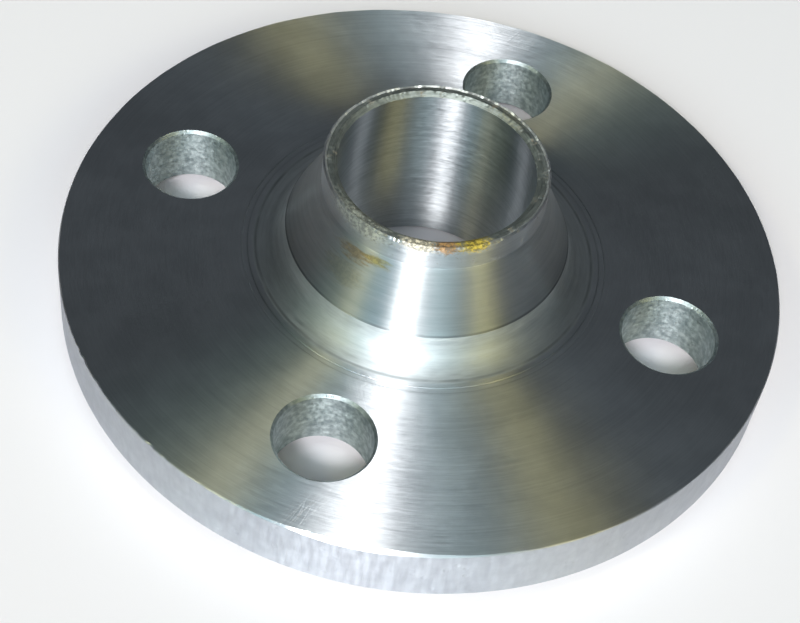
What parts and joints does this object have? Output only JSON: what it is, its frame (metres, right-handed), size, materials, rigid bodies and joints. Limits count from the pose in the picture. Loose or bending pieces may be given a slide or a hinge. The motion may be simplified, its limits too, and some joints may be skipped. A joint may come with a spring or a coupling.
{
  "type": "weld neck counter flange",
  "caption": "Turned steel weld neck flange: round drilled plate with a raised sealing face, a tapered hub, a plain butt-weld collar and a through bore.",
  "frame": {"origin": "centre of the raised sealing face, which the flange stands on", "axes": "+Z along the bore, from the sealing face towards the pipe; the bolt holes straddle the X and Y centre lines"},
  "size_m": [0.14, 0.14, 0.038],
  "materials": {
    "turned_steel": "turned carbon steel with circumferential tool marks, satin to bright, light rust on the weld end"
  },
  "bodies": {
    "root": {"weld_neck_flange": "turned_steel"}
  },
  "joints": []
}
